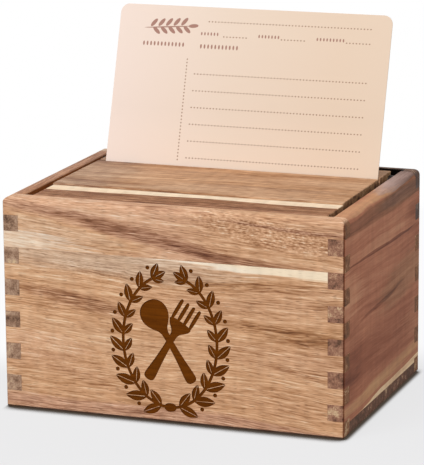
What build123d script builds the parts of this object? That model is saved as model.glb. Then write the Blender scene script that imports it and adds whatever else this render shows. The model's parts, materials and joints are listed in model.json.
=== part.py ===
"""Recipe card box: a finger-jointed wooden box with a pinned, inset lid that holds one card upright.

Frame: millimetres, +Z up, +X to the right, the front of the box faces -Y.
The origin is the middle of the box's underside, where it stands.
"""
import os
from math import cos, radians, sin

from build123d import *

# ---------------------------------------------------------------- box body
box_width = 152.0
box_depth = 110.0
box_height = 92.5
wall = 7.2
base_thickness = 6.0

# Fingers of the corner joints: even ones belong to the front and back, odd ones to the sides.
finger = 7.0
inner_fingers = 11
end_finger = (box_height - inner_fingers * finger) / 2
upper_stave_fingers = 3

# Rounding of the outside: the top is eased most, but less along the rear.
top_round = 3.2
rear_top_round = 1.5
corner_round = 1.2
bottom_round = 1.8
mouth_chamfer = 0.4

# Recess along the inside of the back, at the top, for the lid's rear edge to swing in.
recess_depth = 3.0
recess_height = 7.0

# Where the two staves of the base meet, measured from the middle of the box.
base_glue_line = 2.5

# ---------------------------------------------------------------- lid
lid_end_gap = 3.2
lid_front_gap = 0.4
lid_rear_gap = 3.2
lid_underside = box_height - 6.5
lid_main_top = box_height + 0.5
lid_front_top = box_height - 0.4
lid_front_stave_depth = 23.0
lid_arris = 0.5

# Saw-cut groove along the lid, in which a card stands.
groove_width = 2.4
groove_depth = 5.0
groove_centre_y = 27.0

# ---------------------------------------------------------------- lid pivots and rest
pin_radius = 1.5
pin_running_clearance = 0.05
pin_in_wall = 5.0
pin_in_lid = 6.0
pin_hole_spare = 0.5
pin_from_lid_rear = 3.3
spacer_radius = 2.2
spacer_end_play = 0.2

rest_length = 120.0
rest_depth = 5.0
rest_height = 6.0
rest_clearance = 0.1

# ---------------------------------------------------------------- card
card_width = 127.0
card_height = 76.2
card_thickness = 0.4
card_corner = 4.0
card_lean = 18.0
card_offset_x = 1.2
card_floor_clearance = 0.05
card_arris_clearance = 0.1

# ---------------------------------------------------------------- derived places
half_width = box_width / 2
half_depth = box_depth / 2
inner_half_width = half_width - wall
inner_half_depth = half_depth - wall
inner_boundaries = [end_finger + finger * step for step in range(inner_fingers + 1)]
finger_levels = [0.0] + inner_boundaries + [box_height]
finger_count = len(finger_levels) - 1
first_upper_finger = finger_count - upper_stave_fingers

lid_half_width = inner_half_width - lid_end_gap
lid_front_y = lid_front_gap - inner_half_depth
lid_glue_y = lid_front_y + lid_front_stave_depth
lid_rear_y = inner_half_depth - lid_rear_gap
pin_y = lid_rear_y - pin_from_lid_rear
pin_z = (lid_underside + lid_main_top) / 2

os.makedirs("parts", exist_ok=True)


def block(low_x, high_x, low_y, high_y, low_z, high_z, mode=Mode.ADD):
    """Add a box to the part being built, or cut it out, given by its lowest and highest corners."""
    with Locations(((low_x + high_x) / 2, (low_y + high_y) / 2, (low_z + high_z) / 2)):
        Box(high_x - low_x, high_y - low_y, high_z - low_z, mode=mode)


def upright_outline(length, first_top_round, last_top_round):
    """Add the body's outline to the sketch, seen from the front or a side, with its corners rounded."""
    with Locations((0, box_height / 2)):
        Rectangle(length, box_height)
    fillet(vertices().sort_by(Axis.Y)[0:2], radius=bottom_round)
    fillet(vertices().sort_by(Axis.Y)[-2:].sort_by(Axis.X)[0], radius=first_top_round)
    fillet(vertices().sort_by(Axis.Y)[-2:].sort_by(Axis.X)[-1], radius=last_top_round)


def finger_profile(body_half, full_half, low, high, fingers):
    """Add a board's outline to the sketch: its body, and its fingers out to the corners."""
    with Locations((0, (low + high) / 2)):
        Rectangle(2 * body_half, high - low)
    for index in fingers:
        foot = finger_levels[index]
        head = finger_levels[index + 1]
        with Locations((0, (foot + head) / 2)):
            Rectangle(2 * full_half, head - foot)


def save(piece, label):
    """Name a finished piece and write it to its own file."""
    piece.label = label
    export_step(piece, "parts/" + label + ".step")


# The eased outline of the whole body, with the eased mouth cut out of it. Every board is trimmed to it,
# so that the rounding runs on from one board to the next.
with BuildPart() as eased_body:
    # The body is what its outlines from above, from the right and from the front have in common.
    with BuildSketch():
        RectangleRounded(box_width, box_depth, corner_round)
    extrude(amount=box_height)
    with BuildSketch(Plane.YZ):
        upright_outline(box_depth, top_round, rear_top_round)
    extrude(amount=half_width, both=True, mode=Mode.INTERSECT)
    with BuildSketch(Plane.XZ):
        upright_outline(box_width, top_round, top_round)
    extrude(amount=half_depth, both=True, mode=Mode.INTERSECT)
    with BuildSketch(Plane.XY.offset(base_thickness)):
        Rectangle(2 * inner_half_width, 2 * inner_half_depth)
    extrude(amount=box_height - base_thickness, mode=Mode.SUBTRACT)
    block(
        -inner_half_width,
        inner_half_width,
        0,
        inner_half_depth + recess_depth,
        box_height - recess_height,
        box_height,
        mode=Mode.SUBTRACT,
    )
    mouth = eased_body.faces().filter_by(Axis.Z).sort_by(Axis.Z)[-1].inner_wires()[0]
    chamfer(mouth.edges(), length=mouth_chamfer)

# ---------------------------------------------------------------- front and back
# Each is two boards glued edge to edge, with the glue line at the top of a side finger.
for side_name, start in (("front", inner_half_depth), ("back", -half_depth)):
    for stave_name, first, last in (
        ("lower", 0, first_upper_finger),
        ("upper", first_upper_finger, finger_count),
    ):
        own_fingers = [index for index in range(first, last) if index % 2 == 0]
        with BuildPart() as long_stave:
            with BuildSketch(Plane.XZ.offset(start)):
                finger_profile(
                    inner_half_width,
                    half_width,
                    finger_levels[first],
                    finger_levels[last],
                    own_fingers,
                )
            extrude(amount=wall)
            add(eased_body.part, mode=Mode.INTERSECT)
        save(long_stave.part, side_name + "_" + stave_name + "_stave")

# ---------------------------------------------------------------- sides
# Each is one board that stands on the base, drilled part way from inside for the lid's pin.
side_fingers = [index for index in range(finger_count) if index % 2 == 1]
for side_name, outside_x, direction in (("right", half_width, 1), ("left", -half_width, -1)):
    inside_x = outside_x - direction * wall
    with BuildPart() as side_board:
        with BuildSketch(Plane.YZ.offset(inside_x)):
            finger_profile(inner_half_depth, half_depth, base_thickness, box_height, side_fingers)
        extrude(amount=direction * wall)
        add(eased_body.part, mode=Mode.INTERSECT)
        with BuildSketch(Plane.YZ.offset(inside_x)):
            with Locations((pin_y, pin_z)):
                Circle(pin_radius)
        extrude(amount=direction * pin_in_wall, mode=Mode.SUBTRACT)
    save(side_board.part, side_name + "_side")

# ---------------------------------------------------------------- base
# Two staves side by side, let in between front and back, with their end grain showing under the sides.
for stave_name, low_y, high_y in (
    ("base_front_stave", -inner_half_depth, base_glue_line),
    ("base_rear_stave", base_glue_line, inner_half_depth),
):
    with BuildPart() as base_stave:
        block(-half_width, half_width, low_y, high_y, 0, base_thickness)
        add(eased_body.part, mode=Mode.INTERSECT)
    save(base_stave.part, stave_name)

# ---------------------------------------------------------------- lid
with BuildPart() as lid_front_stave:
    block(-lid_half_width, lid_half_width, lid_front_y, lid_glue_y, lid_underside, lid_front_top)
    front_stave_top = lid_front_stave.faces().sort_by(Axis.Z)[-1]
    eased_edges = front_stave_top.edges().filter_by(Axis.Y) + front_stave_top.edges().sort_by(Axis.Y)[0:1]
    fillet(eased_edges, radius=lid_arris)
save(lid_front_stave.part, "lid_front_stave")

with BuildPart() as lid_main_stave:
    block(-lid_half_width, lid_half_width, lid_glue_y, lid_rear_y, lid_underside, lid_main_top)
    fillet(lid_main_stave.faces().sort_by(Axis.Z)[-1].edges(), radius=lid_arris)
    # The groove runs right through both ends.
    with BuildSketch(Plane.XY.offset(lid_main_top)):
        with Locations((0, groove_centre_y)):
            Rectangle(2 * lid_half_width, groove_width)
    extrude(amount=-groove_depth, mode=Mode.SUBTRACT)
    # A blind hole in each end runs on its pin.
    for end_x, inwards in ((lid_half_width, -1), (-lid_half_width, 1)):
        with BuildSketch(Plane.YZ.offset(end_x)):
            with Locations((pin_y, pin_z)):
                Circle(pin_radius + pin_running_clearance)
        extrude(amount=inwards * (pin_in_lid + pin_hole_spare), mode=Mode.SUBTRACT)
save(lid_main_stave.part, "lid_main_stave")

# ---------------------------------------------------------------- pins, spacers and lid rest
for side_name, direction in (("right", 1), ("left", -1)):
    lid_end_x = direction * lid_half_width
    wall_face_x = direction * inner_half_width

    with BuildPart() as hinge_pin:
        with BuildSketch(Plane.YZ.offset(lid_end_x - direction * pin_in_lid)):
            with Locations((pin_y, pin_z)):
                Circle(pin_radius)
        extrude(amount=direction * (pin_in_lid + lid_end_gap + pin_in_wall))
    save(hinge_pin.part, side_name + "_hinge_pin")

    with BuildPart() as pin_spacer:
        with BuildSketch(Plane.YZ.offset(wall_face_x)):
            with Locations((pin_y, pin_z)):
                Circle(spacer_radius)
                Circle(pin_radius + pin_running_clearance, mode=Mode.SUBTRACT)
        extrude(amount=-direction * (lid_end_gap - spacer_end_play))
    save(pin_spacer.part, side_name + "_pin_spacer")

with BuildPart() as lid_rest:
    rest_top = lid_underside - rest_clearance
    block(
        -rest_length / 2,
        rest_length / 2,
        -inner_half_depth,
        rest_depth - inner_half_depth,
        rest_top - rest_height,
        rest_top,
    )
    lower_inner_edge = lid_rest.edges().filter_by(Axis.X).sort_by(Axis.Z)[0:2].sort_by(Axis.Y)[-1]
    chamfer(lower_inner_edge, length=rest_depth / 2)
save(lid_rest.part, "lid_rest_strip")

# ---------------------------------------------------------------- card
# The card leans back: its foot is at the bottom of the groove, its back against the groove's rear arris.
lean = radians(card_lean)
groove_rear_y = groove_centre_y + groove_width / 2
hidden_length = (groove_depth - card_floor_clearance) / cos(lean)
foot_y = groove_rear_y - card_arris_clearance - hidden_length * sin(lean)
foot_z = lid_main_top - groove_depth + card_floor_clearance
# The plane of the card's back: its y runs up the card, and its normal points out of the card's face.
card_back = Plane(
    origin=(card_offset_x, foot_y, foot_z),
    x_dir=(1, 0, 0),
    z_dir=(0, -cos(lean), sin(lean)),
)
with BuildPart() as recipe_card:
    with BuildSketch(card_back):
        with Locations((0, card_height / 2)):
            RectangleRounded(card_width, card_height, card_corner)
    extrude(amount=card_thickness)
save(recipe_card.part, "recipe_card")
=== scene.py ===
"""A finger-jointed acacia recipe box: its hinged lid has a groove in which one recipe card stands."""

import json
import math

import bmesh
import bpy
from mathutils import Matrix, Vector


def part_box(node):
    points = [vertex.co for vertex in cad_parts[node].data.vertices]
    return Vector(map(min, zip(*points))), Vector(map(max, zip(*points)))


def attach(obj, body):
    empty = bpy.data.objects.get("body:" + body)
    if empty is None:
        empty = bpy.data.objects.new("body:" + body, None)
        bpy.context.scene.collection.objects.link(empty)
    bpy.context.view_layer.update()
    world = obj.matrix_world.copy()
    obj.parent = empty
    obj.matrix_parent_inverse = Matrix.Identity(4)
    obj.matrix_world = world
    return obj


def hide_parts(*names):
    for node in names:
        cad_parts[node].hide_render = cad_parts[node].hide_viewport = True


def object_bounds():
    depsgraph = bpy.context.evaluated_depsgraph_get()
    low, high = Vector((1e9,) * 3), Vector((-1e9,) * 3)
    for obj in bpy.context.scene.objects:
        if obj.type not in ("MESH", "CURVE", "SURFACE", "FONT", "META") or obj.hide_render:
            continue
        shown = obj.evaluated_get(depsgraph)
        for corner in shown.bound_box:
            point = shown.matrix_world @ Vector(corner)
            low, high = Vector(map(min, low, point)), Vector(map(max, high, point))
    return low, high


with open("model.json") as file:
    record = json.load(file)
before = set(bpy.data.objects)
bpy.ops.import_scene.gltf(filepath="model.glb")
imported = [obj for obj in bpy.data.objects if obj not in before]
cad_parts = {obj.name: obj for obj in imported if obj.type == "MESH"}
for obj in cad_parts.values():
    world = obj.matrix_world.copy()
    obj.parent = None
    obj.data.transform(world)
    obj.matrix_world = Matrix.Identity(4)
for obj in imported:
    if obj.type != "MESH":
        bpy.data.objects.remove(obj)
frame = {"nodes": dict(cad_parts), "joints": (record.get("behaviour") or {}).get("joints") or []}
cad_low, cad_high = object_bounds()

MM = 0.001
PER_MM = 1.0 / MM
FLAT_ANGLE = math.radians(0.1)
MERGE_DISTANCE = 0.002 * MM


# ---------------------------------------------------------------- small tools

def paint(hex_code):
    """Turns an sRGB hex colour into the linear colour that shaders use."""
    channels = [int(hex_code[i:i + 2], 16) / 255 for i in (1, 3, 5)]
    linear = [c / 12.92 if c <= 0.04045 else ((c + 0.055) / 1.055) ** 2.4 for c in channels]
    return (*linear, 1.0)


def add_node(tree, kind, inputs=None, **settings):
    """Adds one node with its settings, and gives its sockets their inputs.

    An input is a plain value, or the socket or node that feeds it: a node stands for its first output.
    A list feeds a socket that takes several.
    """
    made = tree.nodes.new(kind)
    for name, value in settings.items():
        setattr(made, name, value)
    for socket, given in (inputs or {}).items():
        for source in given if isinstance(given, list) else [given]:
            if isinstance(source, bpy.types.Node):
                source = source.outputs[0]
            if isinstance(source, bpy.types.NodeSocket):
                tree.links.new(source, made.inputs[socket])
            else:
                made.inputs[socket].default_value = source
    return made


def new_material(name):
    """An empty node material, its node tree, and the sockets that tell where on the piece a place is."""
    material = bpy.data.materials.new(name)
    material.use_nodes = True
    tree = material.node_tree
    tree.nodes.clear()
    return material, tree, add_node(tree, "ShaderNodeTexCoord").outputs


def fill_ramp(ramp, stops):
    """Gives a colour ramp its stops, a list of (position, hex colour)."""
    while len(ramp.elements) < len(stops):
        ramp.elements.new(0.5)
    for element, (position, colour) in zip(ramp.elements, stops):
        element.position = position
        element.color = paint(colour)


def long_marks(tree, vector, length, width, detail, start=(0.0, 0.0, 0.0), unit=1.0):
    """Noise drawn out along the first axis: how long and wide its marks are, in mm.

    unit is how many mm one step of the vector is: 1, or PER_MM for a vector in metres.
    """
    stretched = add_node(tree, "ShaderNodeMapping",
                         {0: vector, "Location": start,
                          "Scale": (unit / length, unit / width, unit / width)})
    return add_node(tree, "ShaderNodeTexNoise", {"Vector": stretched, "Scale": 1.0, "Detail": detail})


THROUGH = 1e4       # mm: so deep that an oval patch runs right through its board or card


def oval_reach(tree, vector, centre, half_sizes, turn):
    """How far out of an oval patch's middle a place is: below 1 inside the oval and 1 on its edge."""
    patch = add_node(tree, "ShaderNodeMapping",
                     {0: vector, "Location": centre, "Rotation": turn, "Scale": half_sizes},
                     vector_type="TEXTURE")
    return add_node(tree, "ShaderNodeVectorMath", {0: patch}, operation="LENGTH").outputs["Value"]


def put_in_scene(name, data):
    """A new object with this data, in the scene."""
    made = bpy.data.objects.new(name, data)
    bpy.context.scene.collection.objects.link(made)
    return made


def made_mesh(name, shape):
    """A mesh from a finished bmesh, which is freed."""
    mesh = bpy.data.meshes.new(name)
    shape.to_mesh(mesh)
    shape.free()
    return mesh


# ---------------------------------------------------------------- acacia

# The colours that acacia runs between, each from sapwood to the darkest heartwood. The steps are the tones
# at which the seven colours of a row stand.
WOOD_STEPS = (0.0, 0.2, 0.36, 0.5, 0.65, 0.82, 1.0)
GOLDEN_WOOD = ("#f0dcbf", "#e0b892", "#cfa07a", "#bd8f69", "#a4754f", "#885a3b", "#5f3d28")
REDDISH_WOOD = ("#f3dfcc", "#dfb89d", "#cfa284", "#ba8e73", "#a3765c", "#845840", "#5c3628")
RUSSET_WOOD = ("#fbdab0", "#d29f7d", "#c38b6b", "#b3765a", "#995f47", "#774634", "#523022")
GREYISH_WOOD = ("#efe2d0", "#dcc1a8", "#cbad92", "#b89a82", "#9f806a", "#7c6052", "#54413a")
COCOA_WOOD = ("#fbdab0", "#d4a87c", "#c4926a", "#ae7e5f", "#94674c", "#754e3a", "#4f3429")
MAUVE_WOOD = ("#efe2d4", "#d9c0b0", "#c6aa9a", "#b0948a", "#967a70", "#75594e", "#4c3a36")
PORE_BROWN = "#7a5238"
PALE_END = "#cdb08c"
DARK_END = "#5c4335"

# Each layer of figure: how long and wide its marks are in mm, its detail, and how far it moves the tone.
FIGURE = {
    "bands": (120.0, 15.0, 2.0, 0.30),
    "stripes": (70.0, 3.0, 4.0, 0.45),
    "lines": (20.0, 0.62, 3.0, 0.72),
    "fibres": (6.5, 0.42, 2.0, 0.85),    # real fibres are 0.02 mm wide: drawn as the bundles that show
}
PORES = (4.0, 0.45)         # real pores are 0.2 mm wide: drawn wider, to show
RIPPLE = (1.6, 0.75)        # curly figure, in mm along and across the grain
SHIMMER = (3.6, 17.0)       # faint bars of light across the grain
DRIFT = (80.0, 28.0, 8.0)   # long bends of the grain: mm along, mm across, mm aside
WAVER = (14.0, 4.0, 0.8)    # short bends

FACING_FRONT = "XZY"        # the grain runs along the first axis, and the board is seen across the second
FACING_SIDE = "YZX"
FACING_UP = "XYZ"
AXES = {"X": (1.0, 0.0, 0.0), "Y": (0.0, 1.0, 0.0), "Z": (0.0, 0.0, 1.0)}

# How far apart the seeds and the layers lie in the noise, so that no two show the same figure.
BEND_SPREAD = (3.7, 1.9, 5.3)
LAYER_SPREAD = (7.1, 2.3, 4.9)
LAYER_STEP = (1.0, 0.0, 3.0)

HUE_SWING = 1.2                     # how much warmer or greyer the bands make the wood
END_MOTTLE = {"bands": 0.6, "lines": 1.0, "stripes": 1.4}       # what each layer adds to the cut ends' tone
END_START = -1.25
END_DEPTH = 0.55                    # how much of the board's own tone shows in its ends


def wavy_grain(tree, board, seed, slope):
    """The place on the board, bent so that the grain doesn't run straight: it drifts and wavers."""
    start = tuple(seed * spread for spread in BEND_SPREAD)
    across = add_node(tree, "ShaderNodeVectorMath", {0: board, 1: (slope, 1.0, 0.0)},
                      operation="DOT_PRODUCT").outputs["Value"]
    for length, width, aside in (DRIFT, WAVER):
        bend = long_marks(tree, board, length, width, 1.0, start)
        centred = add_node(tree, "ShaderNodeMath", {0: bend, 1: 0.5}, operation="SUBTRACT")
        across = add_node(tree, "ShaderNodeMath", {0: centred, 1: aside, 2: across},
                          operation="MULTIPLY_ADD")
    parts = add_node(tree, "ShaderNodeSeparateXYZ", {0: board}).outputs
    return add_node(tree, "ShaderNodeCombineXYZ", {0: parts["X"], 1: across, 2: parts["Z"]})


def figure_layers(tree, grain, seed):
    """The layers of figure, each a noise drawn out along the grain."""
    sizes = {layer: size[:3] for layer, size in FIGURE.items()}
    sizes["pores"] = (*PORES, 1.0)
    sizes["ripple"] = (*RIPPLE, 2.0)
    sizes["shimmer"] = (*SHIMMER, 1.0)
    noises = {}
    for index, (layer, (length, width, detail)) in enumerate(sizes.items()):
        start = tuple(seed * spread + index * step for spread, step in zip(LAYER_SPREAD, LAYER_STEP))
        noises[layer] = long_marks(tree, grain, length, width, detail, start)
    return noises


def with_layers(tree, noises, strengths, level):
    """A tone with so much of each layer of figure added to it."""
    for layer, strength in strengths.items():
        level = add_node(tree, "ShaderNodeMath", {0: noises[layer], 1: strength, 2: level},
                         operation="MULTIPLY_ADD")
    return level


def centred_layers(tree, noises, layers, level):
    """A tone with layers of figure added, and half of their strength taken off to centre it."""
    strengths = {layer: FIGURE[layer][3] for layer in layers}
    return with_layers(tree, noises, strengths, level - sum(strengths.values()) / 2)


def grain_patch(tree, grain, along, beside, half_length, half_width, turn):
    """How far out of an oval patch of the board a place is, from the patch in mm and degrees."""
    return oval_reach(tree, grain, (along, beside, 0.0), (half_length, half_width, THROUGH),
                      (0.0, 0.0, math.radians(turn)))


def wood_colour(tree, level, hue, woods):
    """The colour of a tone: golden where the hue is 0, reddish towards 1 and greyish towards -1."""
    ramps = []
    for steps in woods:
        ramps.append(add_node(tree, "ShaderNodeValToRGB", {0: level}))
        fill_ramp(ramps[-1].color_ramp, list(zip(WOOD_STEPS, steps)))
    golden, reddish, greyish = ramps
    warm = add_node(tree, "ShaderNodeMix", {0: hue, 6: golden, 7: reddish},
                    data_type="RGBA", clamp_factor=True)
    greyness = add_node(tree, "ShaderNodeMath", {0: hue, 1: -1.0}, operation="MULTIPLY")
    return add_node(tree, "ShaderNodeMix", {0: greyness, 6: warm.outputs[2], 7: greyish},
                    data_type="RGBA", clamp_factor=True).outputs[2]


def end_colour(tree, noises, broad_level, ends):
    """The cut ends drink more oil, so they are greyer and mottled, and palest in sapwood."""
    level = with_layers(tree, noises, END_MOTTLE, END_START)
    level = add_node(tree, "ShaderNodeMath", {0: broad_level, 1: END_DEPTH, 2: level},
                     operation="MULTIPLY_ADD")
    colour = add_node(tree, "ShaderNodeValToRGB", {0: level})
    fill_ramp(colour.color_ramp, [(0.0, PALE_END), (0.28, ends[1]), (0.58, ends[0]), (0.95, DARK_END)])
    return colour


def with_painted_shade(tree, place, colour, painted_shades):
    """A colour multiplied by each painted shade's colour inside its box, so that the figure shows through.
    """
    for low, high, tint in painted_shades:
        lowest, highest = Vector(low) * MM, Vector(high) * MM
        patch = add_node(tree, "ShaderNodeMapping",
                         {0: place["Object"], "Location": (lowest + highest) / 2,
                          "Scale": (highest - lowest) / 2},
                         vector_type="TEXTURE")
        sides = add_node(tree, "ShaderNodeVectorMath", {0: patch}, operation="ABSOLUTE")
        beyond = add_node(tree, "ShaderNodeVectorMath", {0: sides, 1: (1.0, 1.0, 1.0)}, operation="MAXIMUM")
        outside = add_node(tree, "ShaderNodeVectorMath", {0: beyond, 1: (1.0, 1.0, 1.0)},
                           operation="DISTANCE")
        within = add_node(tree, "ShaderNodeMath", {0: outside.outputs["Value"], 1: 1e-4},
                          operation="LESS_THAN")
        colour = add_node(tree, "ShaderNodeMix", {0: within, 6: colour, 7: paint(tint)},
                          data_type="RGBA", blend_type="MULTIPLY").outputs[2]
    return colour


def acacia(name, facing, seed, tone, warmth, streaks=(), ripples=(), slope=0.0, fineness=1.0,
           woods=(GOLDEN_WOOD, REDDISH_WOOD, GREYISH_WOOD), ends=("#8a6650", "#a98a70"), painted_shades=()):
    """Oiled acacia, sanded fine: tan with wavy brown stripes, pale sapwood and dark open pores.

    tone is 0 for sapwood and 1 for the darkest heartwood. warmth is -1 for greyish, 0 for golden and 1 for
    reddish, and woods are the colours of those: golden, reddish and greyish. fineness is the strength of
    the fine lines, and ends are the dark and light of the cut ends.
    A streak is (along, across, half length, half width, turn in degrees, tone added, warmth added,
    softness), in mm in the board's own plane. A ripple is the same patch, with the curl's strength last.
    A painted shade is (lowest corner, highest corner, colour): a box, in mm, in which the colour is
    multiplied darker to paint shade, and the figure still shows through.
    """
    material, tree, place = new_material(name)
    axes = add_node(tree, "ShaderNodeSeparateXYZ", {0: place["Object"]})
    turned = add_node(tree, "ShaderNodeCombineXYZ",
                      {i: axes.outputs[axis] for i, axis in enumerate(facing)})
    board = add_node(tree, "ShaderNodeVectorMath", {0: turned, "Scale": PER_MM}, operation="SCALE")

    grain = wavy_grain(tree, board, seed, slope)
    noises = figure_layers(tree, grain, seed)
    level = centred_layers(tree, noises, ("bands", "stripes"), tone)
    hue = add_node(tree, "ShaderNodeMath",
                   {0: noises["bands"], 1: HUE_SWING, 2: warmth - HUE_SWING / 2},
                   operation="MULTIPLY_ADD")

    # Streaks are long patches of darker, redder or paler wood. The softer their edges, the more fibrous.
    for *patch, darker, redder, softness in streaks:
        reach = grain_patch(tree, grain, *patch)
        frayed = add_node(tree, "ShaderNodeMath", {0: noises["lines"], 1: softness, 2: reach},
                          operation="MULTIPLY_ADD")
        mask = add_node(tree, "ShaderNodeMapRange",
                        {"Value": frayed, "From Min": 1.0 + 0.8 * softness,
                         "From Max": 1.0 + 0.2 * softness},
                        interpolation_type="SMOOTHSTEP")
        level = add_node(tree, "ShaderNodeMath", {0: mask, 1: darker, 2: level}, operation="MULTIPLY_ADD")
        hue = add_node(tree, "ShaderNodeMath", {0: mask, 1: redder, 2: hue}, operation="MULTIPLY_ADD")
    broad_level = level

    # Fine lines and fibres are strong in heartwood and faint in sapwood.
    fine = centred_layers(tree, noises, ("lines", "fibres"), 0.0)
    heartwood = add_node(tree, "ShaderNodeMapRange",
                         {"Value": broad_level, "From Min": 0.0, "From Max": 0.7, "To Min": 0.3 * fineness,
                          "To Max": 1.6 * fineness})
    level = add_node(tree, "ShaderNodeMath", {0: fine, 1: heartwood, 2: broad_level},
                     operation="MULTIPLY_ADD")

    # Where the grain is curly, short ripples break up the lines.
    curl = add_node(tree, "ShaderNodeMath", {0: noises["ripple"], 1: 0.5}, operation="SUBTRACT")
    for *patch, curliness in ripples:
        reach = grain_patch(tree, grain, *patch)
        mask = add_node(tree, "ShaderNodeMapRange",
                        {"Value": reach, "From Min": 1.3, "From Max": 0.5, "To Max": curliness},
                        interpolation_type="SMOOTHSTEP")
        level = add_node(tree, "ShaderNodeMath", {0: mask, 1: curl, 2: level}, operation="MULTIPLY_ADD")
    wood = wood_colour(tree, level, hue, woods)

    # Open pores are short dark dashes along the grain, in the heartwood.
    pores = add_node(tree, "ShaderNodeMapRange",
                     {"Value": noises["pores"], "From Min": 0.58, "From Max": 0.72, "To Max": 0.5},
                     interpolation_type="SMOOTHSTEP")
    open_pores = add_node(tree, "ShaderNodeMath", {0: pores, 1: heartwood}, operation="MULTIPLY")
    pored = add_node(tree, "ShaderNodeMix", {0: open_pores, 6: wood, 7: paint(PORE_BROWN)},
                     data_type="RGBA")
    glint = add_node(tree, "ShaderNodeMapRange",
                     {"Value": noises["shimmer"], "From Min": 0.3, "From Max": 0.7, "To Min": 0.94,
                      "To Max": 1.06})
    shone = add_node(tree, "ShaderNodeHueSaturation", {"Value": glint, "Color": pored.outputs[2]})

    # End grain shows on the faces that the grain runs out of.
    end_on = add_node(tree, "ShaderNodeVectorMath", {0: place["Normal"], 1: AXES[facing[0]]},
                      operation="DOT_PRODUCT")
    either_end = add_node(tree, "ShaderNodeMath", {0: end_on.outputs["Value"]}, operation="ABSOLUTE")
    at_end = add_node(tree, "ShaderNodeMapRange", {"Value": either_end, "From Min": 0.55, "From Max": 0.9},
                      interpolation_type="SMOOTHSTEP")
    end_wood = end_colour(tree, noises, broad_level, ends)
    oiled = add_node(tree, "ShaderNodeMix", {0: at_end, 6: shone, 7: end_wood}, data_type="RGBA")
    # Boxes of painted shade darken the finished colour where shade falls.
    finished = with_painted_shade(tree, place, oiled.outputs[2], painted_shades)
    relief = add_node(tree, "ShaderNodeMath", {0: open_pores, 1: -0.8, 2: noises["lines"]},
                      operation="MULTIPLY_ADD")
    bump = add_node(tree, "ShaderNodeBump", {"Height": relief, "Strength": 0.35, "Distance": 0.06 * MM})
    gloss = add_node(tree, "ShaderNodeMapRange", {"Value": noises["lines"], "To Min": 0.58, "To Max": 0.74})
    surface = add_node(tree, "ShaderNodeBsdfPrincipled",
                       {"Base Color": finished, "Roughness": gloss, "Normal": bump, "IOR": 1.46,
                        "Specular IOR Level": 0.1})
    add_node(tree, "ShaderNodeOutputMaterial", {0: surface})
    return material


# ---------------------------------------------------------------- boards

ARRIS = 0.12 * MM           # the sanded edge at each joint, which leaves a hair-fine V between two boards
BEVEL_ANGLE = math.radians(40)


def cleaned_copy(node_name):
    """A copy of a CAD node's mesh with its points merged and its flat faces whole."""
    shape = bmesh.new()
    shape.from_mesh(frame["nodes"][node_name].data)
    bmesh.ops.remove_doubles(shape, verts=shape.verts, dist=MERGE_DISTANCE)
    bmesh.ops.dissolve_limit(shape, angle_limit=FLAT_ANGLE, verts=shape.verts, edges=shape.edges)
    for face in shape.faces:
        face.smooth = True
    return made_mesh(node_name, shape)


def plain_mesh(rough):
    """The mesh of an object with its modifiers worked in, and the object removed."""
    graph = bpy.context.evaluated_depsgraph_get()
    mesh = bpy.data.meshes.new_from_object(rough.evaluated_get(graph), preserve_all_data_layers=True,
                                           depsgraph=graph)
    bpy.data.objects.remove(rough)
    return mesh


def finish_piece(name, mesh, body, nodes):
    """Puts a mesh in the scene as a piece that stands for CAD nodes and moves with their body."""
    piece = put_in_scene(name, mesh)
    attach(piece, body)
    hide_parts(*nodes)


def sanded(name, node_name, material, arris=ARRIS, cutter=None):
    """A CAD solid with eased edges, and a cutter's shape taken out of it if there is one."""
    rough = put_in_scene(name, cleaned_copy(node_name))
    rough.data.materials.clear()
    rough.data.materials.append(material)
    eased = rough.modifiers.new("eased edges", "BEVEL")
    eased.width = arris
    eased.segments = 2
    eased.limit_method = "ANGLE"
    eased.angle_limit = BEVEL_ANGLE
    eased.use_clamp_overlap = False
    if cutter is not None:
        cut = rough.modifiers.new("engraving", "BOOLEAN")
        cut.object = cutter
        cut.solver = "EXACT"
        cut.use_self = True
        cut.material_mode = "TRANSFER"
    flat = rough.modifiers.new("flat faces", "WEIGHTED_NORMAL")
    flat.keep_sharp = True
    return plain_mesh(rough)


# ---------------------------------------------------------------- the boards' own figure

FRONT_ENDS = ("#7e5439", "#976a4b")
SIDE_ENDS = ("#8c6350", "#ab8268")
LID_ENDS = ("#a57d5a", "#c49c74")
DARK_ENDS = ("#574640", "#6a564d")
BASE_ENDS = ("#6a4c3c", "#875f4c")

# The routed recess in which the lid's rear edge swings: painted shade, near black, for the deep gap behind
# the lid.
PAINTED_RECESS_SHADE = ((-70.0, 47.0, 85.4), (70.0, 51.3, 93.0), "#2c2522")
# The rounding of the front right corner is painted a little darker: painted shade along that edge.
PAINTED_CORNER_SHADE = ((75.3, -55.5, -1.0), (75.85, -54.2, 91.0), "#ab9084")
# Painted shade: the rounded foot of the boards is painted dark, and the inside of the left side darker and
# browner.
PAINTED_FOOT_SHADE = ((-80.0, -60.0, -1.0), (80.0, 60.0, 1.2), "#78767a")
PAINTED_INSIDE_SHADE = ((-69.0, -48.0, 5.0), (-68.0, 48.0, 91.9), "#f0c68a")


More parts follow.
